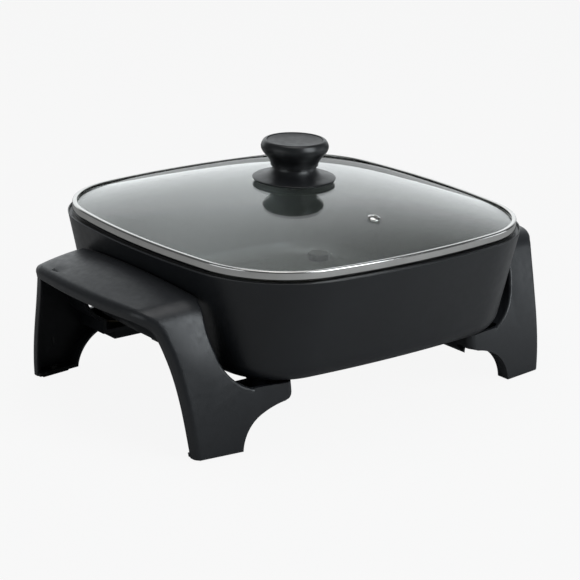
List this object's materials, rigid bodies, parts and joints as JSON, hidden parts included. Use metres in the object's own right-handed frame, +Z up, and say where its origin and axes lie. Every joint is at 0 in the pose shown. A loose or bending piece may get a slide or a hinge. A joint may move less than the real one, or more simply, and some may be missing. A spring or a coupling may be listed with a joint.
{
  "type": "electric skillet",
  "caption": "Square electric skillet with a cast pan, moulded arch frames that are both handles and legs, and a domed glass lid with a steel rim and a knob.",
  "frame": {"origin": "on the table, under the middle of the pan, which is the bottom centre of the whole skillet's box", "axes": "+X from the pan's middle to the right handle, whose underside holds the electrical inlet; -Y is the front, where the lid's steam vent is; +Z is up"},
  "size_m": [0.412, 0.3184, 0.1986],
  "materials": {
    "pan_coating": "satin charcoal non-stick coating on cast aluminium, fine pale specks",
    "element_sheath": "dull heat-tinted sheath",
    "pin_metal": "plated contact pins",
    "ceramic": "unglazed white ceramic",
    "bare_aluminium": "machined aluminium",
    "guard_moulding": "matt black heat-resistant moulding",
    "fastener_steel": "zinc-plated steel",
    "frame_moulding": "satin charcoal-black moulding",
    "spacer_board": "pressed heat-resistant board",
    "foot_rubber": "matt black rubber",
    "clear_glass": "clear tempered glass",
    "polished_steel": "polished stainless steel",
    "gasket_silicone": "dark silicone",
    "knob_moulding": "satin black moulding",
    "insert_brass": "turned brass",
    "knob_cap_moulding": "satin dark grey moulding"
  },
  "bodies": {
    "base": {"pan": "pan_coating", "heating_element": "element_sheath", "terminal_pins": "pin_metal", "terminal_collars": "ceramic", "sensor_well": "bare_aluminium", "socket_guard": "guard_moulding", "guard_screws": "fastener_steel", "right_frame": "frame_moulding", "left_frame": "frame_moulding", "frame_screws": "fastener_steel", "frame_washers": "fastener_steel", "heat_spacers": "spacer_board", "front_right_foot": "foot_rubber", "front_left_foot": "foot_rubber", "rear_right_foot": "foot_rubber", "rear_left_foot": "foot_rubber"},
    "lid": {"lid_glass": "clear_glass", "lid_rim": "polished_steel", "vent_eyelet": "polished_steel", "upper_gasket": "gasket_silicone", "lower_gasket": "gasket_silicone", "lid_washer": "fastener_steel", "knob_screw": "fastener_steel", "knob_flange": "knob_moulding", "knob_head": "knob_moulding", "knob_insert": "insert_brass", "knob_cap": "knob_cap_moulding"}
  },
  "joints": [
    {"name": "lid_lift", "type": "slide", "parent": "base", "child": "lid", "axis": [0, 0, 1], "range_m": [0, 0.15]}
  ]
}
